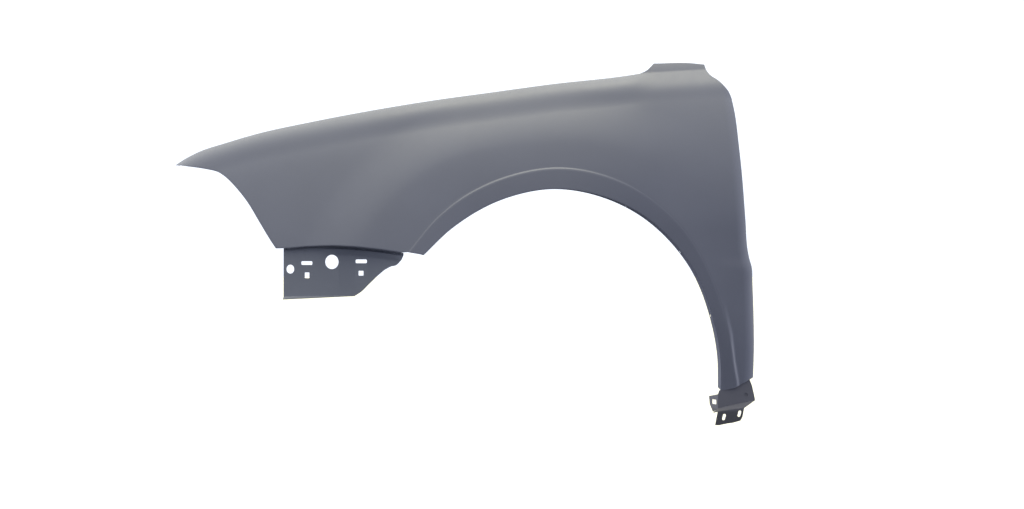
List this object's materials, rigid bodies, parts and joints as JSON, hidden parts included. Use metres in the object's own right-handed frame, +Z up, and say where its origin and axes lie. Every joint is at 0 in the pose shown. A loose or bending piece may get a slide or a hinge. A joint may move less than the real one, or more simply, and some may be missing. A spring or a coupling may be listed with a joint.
{
  "type": "car fender",
  "caption": "Left front car fender in grey primer: pressed steel skin with flared wheel arch, rolled hood edge and flanges, plus welded bumper and sill brackets.",
  "frame": {"origin": "underside of the bolt pad in the hood ledge, right above the centre of the wheel arch", "axes": "+X to the rear of the car, +Y inboard, +Z up, so the painted outer side faces -Y"},
  "size_m": [1.2822, 0.2985, 0.7659],
  "materials": {
    "skin_primer": "matte blue-grey primer on pressed steel",
    "bumper_bracket_primer": "matte blue-grey primer on folded steel",
    "sill_bracket_primer": "matte blue-grey primer on folded steel"
  },
  "bodies": {
    "root": {"fender_skin": "skin_primer", "bumper_bracket": "bumper_bracket_primer", "sill_bracket": "sill_bracket_primer"}
  },
  "joints": []
}
